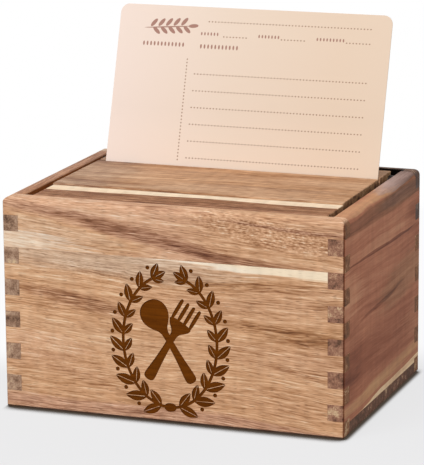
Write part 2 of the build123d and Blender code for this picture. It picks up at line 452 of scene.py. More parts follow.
def front_upper_acacia():
    """Reddish stave with a dark heart streak that falls to the right, and curly grain at its top right."""
    return acacia(
        "acacia_front_upper", FACING_FRONT, seed=3.1, tone=0.36, warmth=0.65, slope=0.06, ends=FRONT_ENDS,
        streaks=[
            (-60.0, 84.3, 30.0, 1.6, -1.5, 0.14, 0.2, 1.2),
            (-10.0, 78.2, 38.0, 2.6, -7.5, 0.24, 0.3, 1.4),
            (30.0, 73.6, 30.0, 2.0, -5.0, 0.2, 0.2, 1.4),
            (10.0, 77.0, 64.0, 4.6, -7.0, 0.08, 0.1, 1.8),
            (-82.0, 69.8, 46.0, 5.0, 0.0, -0.18, -1.4, 1.0),
            (-46.0, 76.0, 34.0, 4.0, -6.0, 0.04, -0.9, 1.2),
            (50.0, 84.0, 42.0, 12.0, 0.0, 0.06, -0.45, 1.2),
            # The last streak is painted shade: a thin darker, redder line where the top rounding begins, at
            # the right.
            (56.0, 89.7, 30.0, 0.9, 0.0, 0.18, 0.5, 1.4),
        ],
        ripples=[(46.0, 86.5, 38.0, 6.5, -4.0, 1.15)], painted_shades=[PAINTED_CORNER_SHADE],
    )


def front_lower_acacia():
    """Golden stave with a pale sapwood edge at its upper right, reddish streaks and faint bars."""
    return acacia(
        "acacia_front_lower", FACING_FRONT, seed=7.4, tone=0.39, warmth=0.05, slope=0.03, ends=FRONT_ENDS,
        painted_shades=[PAINTED_FOOT_SHADE, PAINTED_CORNER_SHADE],
        streaks=[
            (70.0, 73.0, 130.0, 5.6, 0.0, -0.13, -0.2, 0.6),
            (60.0, 74.1, 180.0, 6.0, -2.0, -0.31, 0.1, 0.25),
            (-30.0, 67.0, 60.0, 6.0, 0.0, 0.06, -0.7, 1.2),
            (42.0, 63.6, 34.0, 2.0, 0.5, 0.15, 0.05, 1.0),
            (30.0, 9.0, 60.0, 4.0, 0.0, 0.03, 0.0, 1.2),
            (-42.0, 47.6, 26.0, 3.2, -6.0, 0.24, 0.4, 1.5),
            (52.0, 44.4, 28.0, 3.0, -4.0, 0.26, 0.1, 1.5),
            (50.0, 34.0, 34.0, 7.0, 0.0, 0.06, 0.2, 1.2),
            (58.0, 28.0, 16.0, 1.0, -8.0, 0.16, 0.1, 1.2),
            (-34.0, 13.0, 18.0, 2.4, -12.0, 0.1, 0.1, 1.2),
            (0.0, 2.6, 140.0, 3.4, 0.0, 0.08, 1.0, 1.0),
            (-55.0, 28.0, 20.0, 6.0, 0.0, 0.0, 0.4, 1.2),
        ],
        ripples=[(-30.0, 62.0, 30.0, 6.0, 0.0, 0.35), (-50.0, 24.0, 28.0, 8.0, 0.0, 0.3)],
    )


def right_side_acacia():
    """Dark red-brown heartwood board with grey-brown clouds and pale sapwood along its lower edge."""
    return acacia(
        "acacia_right_side", FACING_SIDE, seed=12.6, tone=0.5, warmth=1.1, slope=0.02, fineness=0.15,
        woods=(COCOA_WOOD, RUSSET_WOOD, MAUVE_WOOD), ends=SIDE_ENDS, painted_shades=[PAINTED_CORNER_SHADE],
        streaks=[
            (0.0, 87.0, 80.0, 4.0, 0.0, 0.16, -0.6, 0.5),
            (50.0, 88.2, 60.0, 4.0, 0.0, 0.14, -0.5, 0.6),
            (0.0, 94.0, 90.0, 2.6, 0.0, -0.12, -0.8, 0.4),
            (36.0, 94.0, 60.0, 2.6, 0.0, 0.12, -0.8, 0.8),
            (60.0, 94.0, 48.0, 2.6, 0.0, 0.16, -0.6, 0.8),
            (60.0, 75.0, 28.0, 8.0, 0.0, 0.16, -0.2, 1.2),
            (0.0, 72.6, 64.0, 2.6, 0.0, -0.06, 0.0, 1.0),
            (-6.0, 70.5, 46.0, 0.7, 0.3, 0.34, 0.0, 0.8),
            (-56.0, 58.0, 24.0, 10.0, 0.0, -0.14, 0.0, 1.2),
            (28.0, 51.0, 36.0, 9.0, 6.0, 0.06, -0.9, 1.2),
            (-4.0, 46.2, 30.0, 1.0, 5.4, 0.2, 0.0, 1.0),
            (60.0, 33.0, 26.0, 10.0, 6.0, -0.1, -0.4, 1.2),
            (0.0, 29.0, 100.0, 9.0, 2.0, 0.12, 0.0, 1.2),
            (-55.0, 31.0, 26.0, 14.0, 0.0, 0.11, 0.0, 1.2),
            (0.0, 12.6, 100.0, 2.6, 2.2, -0.1, -0.8, 1.0),
            (0.0, 17.4, 100.0, 1.8, 2.2, 0.08, 0.0, 1.0),
            (60.0, 5.8, 110.0, 3.7, 0.8, -0.5, -0.6, 0.2),
            (-60.0, 53.2, 5.5, 5.0, 0.0, -0.6, 0.3, 0.2),
            (-60.0, 11.2, 5.5, 5.0, 0.0, -0.35, 0.0, 0.2),
        ],
    )


def lid_main_acacia():
    """Tan stave with straight grey-brown stripes, a little pinker and greyer at its left end."""
    return acacia(
        "acacia_lid_main", FACING_UP, seed=21.3, tone=0.485, warmth=-0.35, fineness=0.7, ends=LID_ENDS,
        streaks=[
            (-66.0, 0.0, 26.0, 60.0, 0.0, 0.07, -0.4, 1.2),
            (-20.0, -1.2, 44.0, 0.7, 3.5, -0.2, 0.0, 0.8),
            (-52.0, -14.5, 34.0, 3.4, -3.0, 0.1, 0.0, 0.9),
            (30.0, -8.0, 30.0, 2.6, 0.0, 0.06, -0.2, 1.0),
            (-62.0, 26.0, 20.0, 8.0, 0.0, 0.1, -0.2, 1.0),
            # The last streak is painted shade: a thin darker line at the step where this stave meets the
            # creamy strip.
            (0.0, -24.6, 300.0, 0.8, 0.0, 0.14, 0.0, 0.3),
        ],
    )


def lid_front_acacia():
    """Reddish stave whose rear edge is a strip of creamy sapwood."""
    return acacia(
        "acacia_lid_front", FACING_UP, seed=17.9, tone=0.77, warmth=0.6, ends=LID_ENDS,
        streaks=[(0.0, -24.4, 300.0, 7.4, 0.0, -0.75, -0.6, 0.06)],
    )


WOOD_BY_BOARD = {
    # node: (piece, body, slot, material)
    "front_upper_stave": ("front_upper_board", "box", "front_wood", front_upper_acacia()),
    "right_side": ("right_side_board", "box", "side_wood", right_side_acacia()),
    "lid_main_stave": ("lid_main_board", "lid", "lid_wood", lid_main_acacia()),
    "lid_front_stave": ("lid_front_board", "lid", "lid_wood", lid_front_acacia()),
    "left_side": ("left_side_board", "box", "side_wood",
                  acacia("acacia_left_side", FACING_SIDE, seed=31.7, tone=0.46, warmth=-0.3, fineness=0.6,
                         woods=(COCOA_WOOD, REDDISH_WOOD, MAUVE_WOOD), ends=("#93735d", "#b0917a"),
                         painted_shades=[PAINTED_INSIDE_SHADE],
                         streaks=[(-60.0, 67.2, 5.5, 5.0, 0.0, 0.6, 0.0, 0.2),
                                  (-60.0, 39.2, 5.5, 5.0, 0.0, 0.55, 0.0, 0.2)])),
    "back_upper_stave": ("back_upper_board", "box", "back_wood",
                         acacia("acacia_back_upper", FACING_FRONT, seed=41.2, tone=0.5, warmth=-1.2,
                                ends=DARK_ENDS, painted_shades=[PAINTED_RECESS_SHADE],
                                streaks=[(76.0, 92.0, 44.0, 6.0, 0.0, 0.34, -0.2, 0.8)])),
    "back_lower_stave": ("back_lower_board", "box", "back_wood",
                         acacia("acacia_back_lower", FACING_FRONT, seed=47.8, tone=0.42, warmth=0.2,
                                ends=FRONT_ENDS, painted_shades=[PAINTED_FOOT_SHADE])),
    "base_front_stave": ("base_front_board", "box", "base_wood",
                         acacia("acacia_base_front", FACING_UP, seed=53.5, tone=0.6, warmth=0.5,
                                ends=BASE_ENDS)),
    "base_rear_stave": ("base_rear_board", "box", "base_wood",
                        acacia("acacia_base_rear", FACING_UP, seed=59.1, tone=0.62, warmth=0.7,
                               ends=BASE_ENDS,
                               streaks=[(0.0, 4.4, 400.0, 2.2, 0.0, -0.7, -0.3, 0.3)])),
    "lid_rest_strip": ("lid_rest_batten", "box", "rest_wood",
                       acacia("acacia_rest_strip", FACING_UP, seed=64.4, tone=0.5, warmth=0.4)),
}

for node_name, (piece_name, body, slot_name, material) in WOOD_BY_BOARD.items():
    finish_piece(piece_name, sanded(piece_name, node_name, material), body, [node_name])


# ---------------------------------------------------------------- laser engraving

ENGRAVING_DEPTH = 0.3 * MM
CUTTER_CLEARANCE = 0.5 * MM     # how far the cutter stands out of the board
DESIGN_CENTRE = Vector((-0.5 * MM, 0.0, 35.5 * MM))
CHAR_GRAIN = (9.0, 0.8)         # mm along and across: the marks of the grain that show through the char


def burnt_acacia():
    """Laser-burnt acacia: flat dark brown, with the grain only just showing through the char."""
    material, tree, place = new_material("laser_burnt_acacia")
    char = long_marks(tree, place["Object"], *CHAR_GRAIN, 3.0, unit=PER_MM)
    tint = add_node(tree, "ShaderNodeValToRGB", {0: char})
    fill_ramp(tint.color_ramp, [(0.3, "#572a00"), (0.7, "#6b3702")])
    bump = add_node(tree, "ShaderNodeBump", {"Height": char, "Strength": 0.3, "Distance": 0.04 * MM})
    surface = add_node(tree, "ShaderNodeBsdfPrincipled",
                       {"Base Color": tint, "Normal": bump, "Roughness": 0.9, "IOR": 1.45,
                        "Specular IOR Level": 0.1})
    add_node(tree, "ShaderNodeOutputMaterial", {0: surface})
    return material


INNER = 1.0     # the side of the stem that a leaf turns to
OUTER = -1.0
STEM_START = math.radians(-99)
STEM_SWEEP = math.radians(167)
LEAF_BULGE = 0.45               # how far along a leaf its widest part is pulled
LEAF_TAPER = (1.08, 0.78)       # the size of the leaves at the foot and at the tip
LEAF_VARIATION = (0.9, 1.08)
TIP_LEAF_SIZE = (0.8, 0.8, 1.0)
BERRY_OUT = 5.5                 # how far a berry stands off the stem and ahead, in its own radii
BERRY_AHEAD = 0.9

WREATH = {
    "Half Width": 21.0 * MM,
    "Half Height": 28.6 * MM,
    "Stem Width": 1.3 * MM,
    "Leaf Length": 9.0 * MM,
    "Leaf Width": 4.0 * MM,
    "Vein": 0.22 * MM,
    "Leaf Count": 11,
    "Leaf Turn": math.radians(38),
    "Berry Radius": 0.9 * MM,
    "Thickness": ENGRAVING_DEPTH + CUTTER_CLEARANCE,
}


def wreath_tree():
    """Geometry Nodes for a leafy branch that climbs half an oval: a stem, leaves on both sides, berries."""
    tree = bpy.data.node_groups.new("wreath branch", "GeometryNodeTree")
    for name, size in WREATH.items():
        kind = "NodeSocketInt" if isinstance(size, int) else "NodeSocketFloat"
        tree.interface.new_socket(name, in_out="INPUT", socket_type=kind)
    tree.interface.new_socket("Finish", in_out="INPUT", socket_type="NodeSocketMaterial")
    tree.interface.new_socket("Geometry", in_out="OUTPUT", socket_type="NodeSocketGeometry")
    given = add_node(tree, "NodeGroupInput").outputs

    # The stem climbs the right half of the oval, crosses the middle at its foot and stops short of the top.
    arc = add_node(tree, "GeometryNodeCurveArc",
                   {"Resolution": 64, "Radius": 1.0, "Start Angle": STEM_START,
                    "Sweep Angle": STEM_SWEEP},
                   mode="RADIUS")
    oval_size = add_node(tree, "ShaderNodeCombineXYZ",
                         {0: given["Half Width"], 1: given["Half Height"], 2: 1.0})
    stem_line = add_node(tree, "GeometryNodeTransform", {"Geometry": arc, "Scale": oval_size})
    section = add_node(tree, "GeometryNodeCurvePrimitiveQuadrilateral",
                       {"Width": given["Stem Width"], "Height": given["Thickness"]})
    upright = add_node(tree, "GeometryNodeSetCurveNormal", {"Curve": stem_line}, mode="Z_UP")
    stem_centred = add_node(tree, "GeometryNodeCurveToMesh",
                            {"Curve": upright, "Profile Curve": section, "Fill Caps": True})
    half_thickness = add_node(tree, "ShaderNodeMath", {0: given["Thickness"], 1: 0.5}, operation="MULTIPLY")
    lift = add_node(tree, "ShaderNodeCombineXYZ", {2: half_thickness})
    stem = add_node(tree, "GeometryNodeTransform", {"Geometry": stem_centred, "Translation": lift})

    # One leaf is two halves with an uncut vein between them.
    middle_x = add_node(tree, "ShaderNodeMath", {0: given["Leaf Length"], 1: LEAF_BULGE},
                        operation="MULTIPLY")
    bulge = add_node(tree, "ShaderNodeCombineXYZ", {0: middle_x, 1: given["Leaf Width"]})
    tip = add_node(tree, "ShaderNodeCombineXYZ", {0: given["Leaf Length"]})
    edge = add_node(tree, "GeometryNodeCurveQuadraticBezier",
                    {"Middle": bulge, "End": tip, "Resolution": 10, "Start": (0, 0, 0)})
    closed = add_node(tree, "GeometryNodeSetSplineCyclic", {0: edge, "Cyclic": True})
    half_face = add_node(tree, "GeometryNodeFillCurve", {0: closed}, mode="NGONS")
    half_vein = add_node(tree, "ShaderNodeMath", {0: given["Vein"], 1: 0.5}, operation="MULTIPLY")
    beside_vein = add_node(tree, "ShaderNodeCombineXYZ", {1: half_vein})
    half_leaf = add_node(tree, "GeometryNodeTransform", {"Geometry": half_face, "Translation": beside_vein})
    other_half = add_node(tree, "GeometryNodeTransform", {"Geometry": half_leaf, "Scale": (1.0, -1.0, 1.0)})
    leaf_faces = add_node(tree, "GeometryNodeJoinGeometry", {0: [half_leaf, other_half]})

    berry_face = add_node(tree, "GeometryNodeMeshCircle", {"Radius": given["Berry Radius"], "Vertices": 12},
                          fill_type="NGON")

    rise = add_node(tree, "ShaderNodeCombineXYZ", {2: 1.0})

    def thickened(face):
        """A flat face raised into a closed plate."""
        raised = add_node(tree, "GeometryNodeExtrudeMesh",
                          {"Mesh": face, "Offset": rise, "Offset Scale": given["Thickness"],
                           "Individual": False},
                          mode="FACES")
        joined = add_node(tree, "GeometryNodeJoinGeometry", {0: [raised, face]})
        return add_node(tree, "GeometryNodeMergeByDistance", {0: joined, "Distance": MERGE_DISTANCE / 2})

    leaf = thickened(leaf_faces)
    berry = thickened(berry_face)

    # Leaves stand in pairs along the stem, each turned away from it, and get smaller towards the tip.
    spots = add_node(tree, "GeometryNodeCurveToPoints", {"Curve": stem_line, "Count": given["Leaf Count"]},
                     mode="COUNT")
    ahead = add_node(tree, "FunctionNodeAlignRotationToVector", {"Vector": spots.outputs["Tangent"]},
                     axis="X")
    index = add_node(tree, "GeometryNodeInputIndex")
    above_foot = add_node(tree, "FunctionNodeCompare", {2: index, 3: 0},
                          data_type="INT", operation="GREATER_THAN")
    climbed = add_node(tree, "ShaderNodeMath", {0: index, 1: given["Leaf Count"]}, operation="DIVIDE")
    taper = add_node(tree, "ShaderNodeMapRange",
                     {"Value": climbed, "To Min": LEAF_TAPER[0], "To Max": LEAF_TAPER[1]})
    branch = [stem]
    for side, seed, share in ((INNER, 5, 0.8), (OUTER, 11, 1.0)):
        smallest, largest = [limit * share for limit in LEAF_VARIATION]
        vary = add_node(tree, "FunctionNodeRandomValue", {2: smallest, 3: largest, "Seed": seed},
                        data_type="FLOAT")
        size = add_node(tree, "ShaderNodeMath", {0: taper, 1: vary.outputs[1]}, operation="MULTIPLY")
        aside = add_node(tree, "ShaderNodeMath", {0: given["Leaf Turn"], 1: side}, operation="MULTIPLY")
        turn = add_node(tree, "FunctionNodeAxisAngleToRotation", {"Angle": aside, "Axis": (0.0, 0.0, 1.0)})
        facing = add_node(tree, "FunctionNodeRotateRotation", {0: ahead, 1: turn}, rotation_space="LOCAL")
        branch.append(add_node(tree, "GeometryNodeInstanceOnPoints",
                               {"Points": spots, "Selection": above_foot, "Instance": leaf,
                                "Rotation": facing, "Scale": size}))

    # One leaf ends the branch.
    last = add_node(tree, "ShaderNodeMath", {0: given["Leaf Count"], 1: 1.0}, operation="SUBTRACT")
    at_tip = add_node(tree, "FunctionNodeCompare", {2: index, 3: last}, data_type="INT", operation="EQUAL")
    branch.append(add_node(tree, "GeometryNodeInstanceOnPoints",
                           {"Points": spots, "Selection": at_tip, "Instance": leaf,
                            "Rotation": ahead, "Scale": TIP_LEAF_SIZE}))

    # Berries stand clear of the leaves on the outer side, from the second pair of leaves up.
    past_first = add_node(tree, "FunctionNodeCompare", {2: index, 3: 1},
                          data_type="INT", operation="GREATER_THAN")
    out_by = add_node(tree, "ShaderNodeMath", {0: given["Berry Radius"], 1: BERRY_OUT},
                      operation="MULTIPLY")
    ahead_by = add_node(tree, "ShaderNodeMath", {0: given["Berry Radius"], 1: BERRY_AHEAD},
                        operation="MULTIPLY")
    outward = add_node(tree, "ShaderNodeVectorMath", {0: spots.outputs["Tangent"], 1: (0.0, 0.0, 1.0)},
                       operation="CROSS_PRODUCT")
    aside_stem = add_node(tree, "ShaderNodeVectorMath", {0: outward, "Scale": out_by}, operation="SCALE")
    along_stem = add_node(tree, "ShaderNodeVectorMath", {0: spots.outputs["Tangent"], "Scale": ahead_by},
                          operation="SCALE")
    stalk = add_node(tree, "ShaderNodeVectorMath", {0: aside_stem, 1: along_stem}, operation="ADD")
    moved = add_node(tree, "GeometryNodeSetPosition", {0: spots, "Offset": stalk})
    branch.append(add_node(tree, "GeometryNodeInstanceOnPoints",
                           {"Points": moved, "Selection": past_first, "Instance": berry}))

    whole = add_node(tree, "GeometryNodeJoinGeometry", {0: branch})
    real = add_node(tree, "GeometryNodeRealizeInstances", {0: whole})
    coated = add_node(tree, "GeometryNodeSetMaterial", {"Geometry": real, "Material": given["Finish"]})
    add_node(tree, "NodeGroupOutput", {0: coated})
    return tree


def wreath_branch(finish):
    """The mesh that the wreath's node tree gives, flat in XY with its thickness along Z."""
    holder = put_in_scene("wreath_branch", bpy.data.meshes.new("wreath_branch"))
    tree = wreath_tree()
    grow = holder.modifiers.new("wreath", "NODES")
    grow.node_group = tree
    sockets = {item.name: item.identifier for item in tree.interface.items_tree if item.in_out == "INPUT"}
    for name, value in WREATH.items():
        grow[sockets[name]] = value
    grow[sockets["Finish"]] = finish
    return plain_mesh(holder)


# Half widths of the spoon and of the fork's handle at heights above their middles, in mm.
HANDLE_END = [(-4.0, 1.5), (-11.0, 1.9), (-16.6, 2.5), (-18.8, 2.5), (-19.9, 1.3)]
SPOON_OUTLINE = [(19.6, 1.8), (18.4, 4.2), (16.2, 6.0), (13.2, 6.6), (10.2, 5.8), (7.6, 3.9), (5.6, 2.0),
                 (3.2, 1.4)] + HANDLE_END
FORK_HANDLE = [(10.4, 5.3), (8.4, 5.2), (6.6, 3.8), (5.0, 2.0), (3.0, 1.4)] + HANDLE_END
TINE_COUNT = 4
TINE_SPACING = 2.95
TINE_HALF_WIDTH = 0.85
TINE_TOP = 19.2
TINE_FOOT = 9.0
TINE_POINT = (0.6, 1.2)         # how wide the end of a tine is, of its full width, and how long it narrows
UTENSIL_TURN = math.radians(31)
TIE_OUTLINE = [(2.7, 1.9), (-2.7, 1.9), (-2.7, -1.9), (2.7, -1.9)]


def plate(outline, lean=0.0):
    """A flat closed plate with a smooth outline, from its points in mm."""
    line = bpy.data.curves.new("outline", "CURVE")
    line.dimensions = "2D"
    line.fill_mode = "BOTH"
    line.extrude = WREATH["Thickness"] / 2
    spline = line.splines.new("NURBS")
    spline.points.add(len(outline) - 1)
    for point, (x, y) in zip(spline.points, outline):
        point.co = (x * MM, y * MM, 0.0, 1.0)
    spline.order_u = 3
    spline.resolution_u = 4
    spline.use_cyclic_u = True
    mesh = plain_mesh(put_in_scene("outline", line))
    mesh.transform(Matrix.Rotation(lean, 4, "Z") @ Matrix.Translation((0, 0, WREATH["Thickness"] / 2)))
    return mesh


def mirrored_outline(half):
    """A closed outline from the half widths of a shape that is the same on both sides."""
    right = [(width, height) for height, width in half]
    left = [(-width, height) for height, width in reversed(half)]
    return right + left


def engraving_cutter(finish):
    """The design as one closed cutter in front of the board: a wreath round a crossed spoon and fork."""
    design = bmesh.new()
    branch = wreath_branch(finish)
    design.from_mesh(branch)
    branch.transform(Matrix.Scale(-1, 4, (1, 0, 0)))
    design.from_mesh(branch)
    design.from_mesh(plate(mirrored_outline(SPOON_OUTLINE), UTENSIL_TURN))
    design.from_mesh(plate(mirrored_outline(FORK_HANDLE), -UTENSIL_TURN))
    for number in range(TINE_COUNT):
        centre = (number - (TINE_COUNT - 1) / 2) * TINE_SPACING
        point = TINE_HALF_WIDTH * TINE_POINT[0]
        shoulder = TINE_TOP - TINE_POINT[1]
        right, left = centre + TINE_HALF_WIDTH, centre - TINE_HALF_WIDTH
        tine = [(right, shoulder), (centre + point, TINE_TOP), (centre - point, TINE_TOP), (left, shoulder),
                (left, TINE_FOOT), (right, TINE_FOOT)]
        design.from_mesh(plate(tine, -UTENSIL_TURN))
    tie = plate(TIE_OUTLINE)
    tie.transform(Matrix.Translation((0.0, -WREATH["Half Height"], 0.0)))
    design.from_mesh(tie)
    bmesh.ops.remove_doubles(design, verts=design.verts, dist=MERGE_DISTANCE / 2)
    bmesh.ops.recalc_face_normals(design, faces=design.faces)
    mesh = made_mesh("engraving_cutter", design)
    mesh.materials.clear()
    mesh.materials.append(finish)
    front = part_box("front_lower_stave")[0].y
    centre = DESIGN_CENTRE + Vector((0.0, front + ENGRAVING_DEPTH, 0.0))
    mesh.transform(Matrix.Translation(centre) @ Matrix.Rotation(math.radians(90), 4, "X"))
    return put_in_scene("engraving_cutter", mesh)


cutter = engraving_cutter(burnt_acacia())
front_mesh = sanded("front_lower_board", "front_lower_stave", front_lower_acacia(), cutter=cutter)
finish_piece("front_lower_board", front_mesh, "box", ["front_lower_stave"])
bpy.data.objects.remove(cutter)


# ---------------------------------------------------------------- pins and spacers

TURNING_MARKS = (0.15, 4.0)     # mm along and round the pin: real rings are finer, drawn to show
MOULDED_GRAIN = 0.3             # mm: real grain is finer, drawn to show
PIN_ARRIS = 0.2 * MM
SPACER_ARRIS = 0.15 * MM


def turned_steel():
    """Stainless steel pin, turned on a lathe: bright, with fine rings round it."""
    material, tree, place = new_material("turned_stainless_steel")
    rings = long_marks(tree, place["Object"], *TURNING_MARKS, 2.0, unit=PER_MM)
    gloss = add_node(tree, "ShaderNodeMapRange", {"Value": rings, "To Min": 0.22, "To Max": 0.4})
    bump = add_node(tree, "ShaderNodeBump", {"Height": rings, "Strength": 0.2, "Distance": 0.01 * MM})
    surface = add_node(tree, "ShaderNodeBsdfPrincipled",
                       {"Roughness": gloss, "Normal": bump, "Base Color": paint("#c9c9c6"),
                        "Metallic": 1.0})
    add_node(tree, "ShaderNodeOutputMaterial", {0: surface})
    return material


def dark_nylon():
    """Moulded nylon spacer: dark brown, with a soft sheen and a faint moulded grain."""
    material, tree, place = new_material("dark_moulded_nylon")
    grain = add_node(tree, "ShaderNodeTexNoise",
                     {"Vector": place["Object"], "Scale": PER_MM / MOULDED_GRAIN, "Detail": 2.0})
    tint = add_node(tree, "ShaderNodeValToRGB", {0: grain})
    fill_ramp(tint.color_ramp, [(0.3, "#1f1713"), (0.7, "#281f1a")])
    bump = add_node(tree, "ShaderNodeBump", {"Height": grain, "Strength": 0.25, "Distance": 0.02 * MM})
    surface = add_node(tree, "ShaderNodeBsdfPrincipled",
                       {"Base Color": tint, "Normal": bump, "Roughness": 0.6, "IOR": 1.53,
                        "Specular IOR Level": 0.2})
    add_node(tree, "ShaderNodeOutputMaterial", {0: surface})
    return material


pin_finish = turned_steel()
spacer_finish = dark_nylon()
for side in ("left", "right"):
    pin = sanded(side + "_pivot_pin", side + "_hinge_pin", pin_finish, PIN_ARRIS)
    finish_piece(side + "_pivot_pin", pin, "box", [side + "_hinge_pin"])
    ring = sanded(side + "_spacer_ring", side + "_pin_spacer", spacer_finish, SPACER_ARRIS)
    finish_piece(side + "_spacer_ring", ring, "box", [side + "_pin_spacer"])


# ---------------------------------------------------------------- recipe card

# The print, in mm from the middle of the card's foot. Small ovals stand in rows: their pitch, half length
# and half height are one size, and a row is (height, first oval, last oval).
DOTS = (1.5, 0.36, 0.3)         # a real dot is about 0.3 mm: drawn larger and further apart, to show
TITLE_GRAINS = (1.7, 0.42, 1.0)
LABEL_GRAINS = (1.5, 0.36, 0.75)
TITLE_ROWS = [(58.9, -30, -19), (58.6, -14, -4)]
LABEL_ROWS = [(64.3, -16, -11), (64.3, 2, 8), (64.3, 20, 28)]
DIVIDER = [(-29.6, 5, 35)]      # it runs upright, so its first number is its place along the card
FIRST_RULE = 46.1
RULE_STEP = 7.52
RULES = [(69.8, -14, 36), (63.3, -9, -2), (63.3, 9, 16), (63.3, 29, 36)]
RULES += [(FIRST_RULE - RULE_STEP * line, -17, 36) for line in range(6)]
CARD_TOOTH = 2.2                # marks per mm: real tooth is finer, drawn to show
CARD_ARRIS = 0.05 * MM
RULE_INK = "#a3836d"
MARK_INK = "#a57c6e"

# The sprig's ovals, each (beside, above, half length, half width, turn in degrees): its stem, the leaf at
# its tip, and the pairs of leaves between.
SPRIG = [(-40.5, 66.6, 11.0, 0.28, 4.0), (-28.2, 67.5, 2.3, 0.85, 6.0)]
LEAF_STEP = (3.6, 0.24)
for pair in range(5):
    for beside, above, turn in ((-47.0, 68.3, 50.0), (-45.6, 64.8, -42.0)):
        SPRIG.append((beside + pair * LEAF_STEP[0], above + pair * LEAF_STEP[1], 2.2, 0.85, turn))


def rows_of_ovals(tree, along, off, size, rows):
    """The masks of rows of small ovals, which run along one way of the card and stand off the other way."""
    pitch, half_length, half_height = size
    every = add_node(tree, "ShaderNodeMath", {0: along, 1: pitch / 2}, operation="PINGPONG")
    ahead = add_node(tree, "ShaderNodeMath", {0: every, 1: half_length}, operation="DIVIDE")
    ahead_squared = add_node(tree, "ShaderNodeMath", {0: ahead, 1: 2.0}, operation="POWER")
    masks = []
    for height, first, last in rows:
        level = add_node(tree, "ShaderNodeMath", {0: off, 1: height}, operation="SUBTRACT")
        raised = add_node(tree, "ShaderNodeMath", {0: level, 1: half_height}, operation="DIVIDE")
        reach = add_node(tree, "ShaderNodeMath", {0: raised, 1: raised, 2: ahead_squared},
                         operation="MULTIPLY_ADD")
        inside = add_node(tree, "ShaderNodeMath", {0: reach, 1: 1.0}, operation="LESS_THAN")
        run = add_node(tree, "ShaderNodeMath",
                       {0: along, 1: (first + last) / 2 * pitch, 2: (last + 1 - first) / 2 * pitch},
                       operation="COMPARE")
        masks.append(add_node(tree, "ShaderNodeMath", {0: inside, 1: run}, operation="MULTIPLY"))
    return masks


def single_ovals(tree, sheet, ovals):
    """The masks of ovals that each have their own place, size and turn."""
    masks = []
    for beside, above, half_length, half_width, turn in ovals:
        reach = oval_reach(tree, sheet, (beside, 0.0, above), (half_length, THROUGH, half_width),
                           (0.0, math.radians(-turn), 0.0))
        masks.append(add_node(tree, "ShaderNodeMath", {0: reach, 1: 1.0}, operation="LESS_THAN"))
    return masks


def joined(tree, masks):
    """Several masks as one."""
    whole = masks[0]
    for mask in masks[1:]:
        whole = add_node(tree, "ShaderNodeMath", {0: whole, 1: mask}, operation="MAXIMUM")
    return whole


def printed_card(foot, lean):
    """Smooth peach card stock with brown print: dotted rules, a leafy sprig and small marks."""
    material, tree, place = new_material("peach_card_stock")
    sheet = add_node(tree, "ShaderNodeMapping",
                     {0: place["Object"], "Location": foot, "Rotation": (-lean, 0.0, 0.0),
                      "Scale": (MM, MM, MM)},
                     vector_type="TEXTURE")
    spot = add_node(tree, "ShaderNodeSeparateXYZ", {0: sheet}).outputs
    beside = spot["X"]
    above = spot["Z"]

    # The stock is pinker at the left and more golden at the right.
    tone = add_node(tree, "ShaderNodeMapRange", {"Value": beside, "From Min": -63.0, "From Max": 40.0})
    stock = add_node(tree, "ShaderNodeValToRGB", {0: tone})
    fill_ramp(stock.color_ramp, [(0.0, "#ebd8cc"), (0.5, "#e5d1bf"), (1.0, "#e2cbb5")])

    # The stock is painted a little paler towards the card's foot: painted light, lifting the shade that the
    # lid casts there.
    painted_foot_light = add_node(tree, "ShaderNodeMapRange",
                       {"Value": above, "From Min": 5.0, "From Max": 30.0, "To Min": 1.09, "To Max": 1.0})
    stock_with_painted_light = add_node(tree, "ShaderNodeHueSaturation", {"Value": painted_foot_light, "Color": stock})

    # Dotted rules and a divider. The sprig, and rows of grains that stand for the headings and labels.
    dots = rows_of_ovals(tree, beside, above, DOTS, RULES)
    dots += rows_of_ovals(tree, above, beside, DOTS, DIVIDER)
    marks = single_ovals(tree, sheet, SPRIG)
    marks += rows_of_ovals(tree, beside, above, TITLE_GRAINS, TITLE_ROWS)
    marks += rows_of_ovals(tree, beside, above, LABEL_GRAINS, LABEL_ROWS)

    # Print is only on the front face.
    facing = add_node(tree, "ShaderNodeVectorMath",
                      {0: place["Normal"], 1: (0.0, -math.cos(lean), math.sin(lean))},
                      operation="DOT_PRODUCT")
    front = add_node(tree, "ShaderNodeMath", {0: facing.outputs["Value"], 1: 0.9}, operation="GREATER_THAN")
    colour = stock_with_painted_light
    for masks, ink in ((dots, RULE_INK), (marks, MARK_INK)):
        inked = add_node(tree, "ShaderNodeMath", {0: joined(tree, masks), 1: front}, operation="MULTIPLY")
        colour = add_node(tree, "ShaderNodeMix", {0: inked, 6: colour, 7: paint(ink)},
                          data_type="RGBA").outputs[2]

    tooth = add_node(tree, "ShaderNodeTexNoise", {"Vector": sheet, "Scale": CARD_TOOTH, "Detail": 4.0})
    bump = add_node(tree, "ShaderNodeBump", {"Height": tooth, "Strength": 0.12, "Distance": 0.02 * MM})
    surface = add_node(tree, "ShaderNodeBsdfPrincipled",
                       {"Base Color": colour, "Normal": bump, "Roughness": 0.72, "IOR": 1.5,
                        "Specular IOR Level": 0.25})
    add_node(tree, "ShaderNodeOutputMaterial", {0: surface})
    return material


slide = next(joint for joint in frame["joints"] if joint["name"] == "card_slide")
card_up = Vector(slide["axis"])
card_lean = math.atan2(card_up.y, card_up.z)
card_low, card_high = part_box("recipe_card")
card_foot = Vector(((card_low.x + card_high.x) / 2, card_low.y, card_low.z))
card_stock = printed_card(card_foot, card_lean)
card_mesh = sanded("standing_recipe_card", "recipe_card", card_stock, CARD_ARRIS)
finish_piece("standing_recipe_card", card_mesh, "card", ["recipe_card"])


# ---------------------------------------------------------------- floor, light and camera

